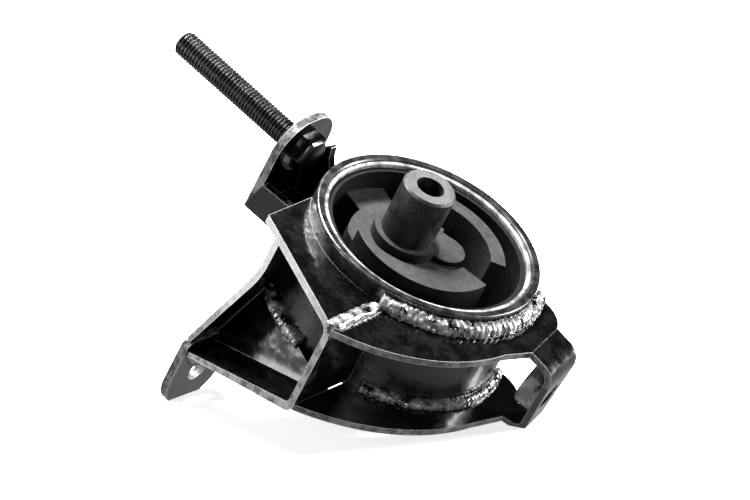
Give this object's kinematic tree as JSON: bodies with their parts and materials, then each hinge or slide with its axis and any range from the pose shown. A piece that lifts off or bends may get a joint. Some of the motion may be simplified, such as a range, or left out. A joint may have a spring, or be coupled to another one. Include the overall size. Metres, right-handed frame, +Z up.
{
  "type": "engine mount",
  "caption": "Engine mount: rubber bush with an eccentric bolt sleeve in a steel ring, welded pressed brackets, a side stud, a lower fixing foot and an arm with a weld nut.",
  "frame": {"origin": "middle of the bolt bore at the inner sleeve's upper end", "axes": "+Z up along the bore, away from the ring; -X the way the stud points; the tray bracket hangs on the -Y side and the arm reaches towards +X"},
  "size_m": [0.2322, 0.1438, 0.152],
  "materials": {
    "black_paint": "gloss",
    "painted_weld": "gloss",
    "bush_shell": "satin",
    "sleeve_steel": "satin",
    "rubber": "matte",
    "stud_steel": "satin"
  },
  "bodies": {
    "root": {"housing_ring": "black_paint", "tray_bracket": "black_paint", "stud_bracket": "black_paint", "foot_plate": "black_paint", "arm_strap": "black_paint", "arm_weld_nut": "black_paint", "weld_arm_ring_top": "painted_weld", "weld_arm_ring_bottom": "painted_weld", "weld_tray_ring": "painted_weld", "weld_arm_tray": "painted_weld", "weld_stud_bracket": "painted_weld", "weld_stud_gusset": "painted_weld", "weld_stud_head": "painted_weld", "weld_foot": "painted_weld", "weld_nut_tacks": "painted_weld", "bush_outer_sleeve": "bush_shell", "bush_inner_sleeve": "sleeve_steel", "rubber_bush": "rubber", "rubber_lining": "rubber", "stud_bolt": "stud_steel"}
  },
  "joints": []
}
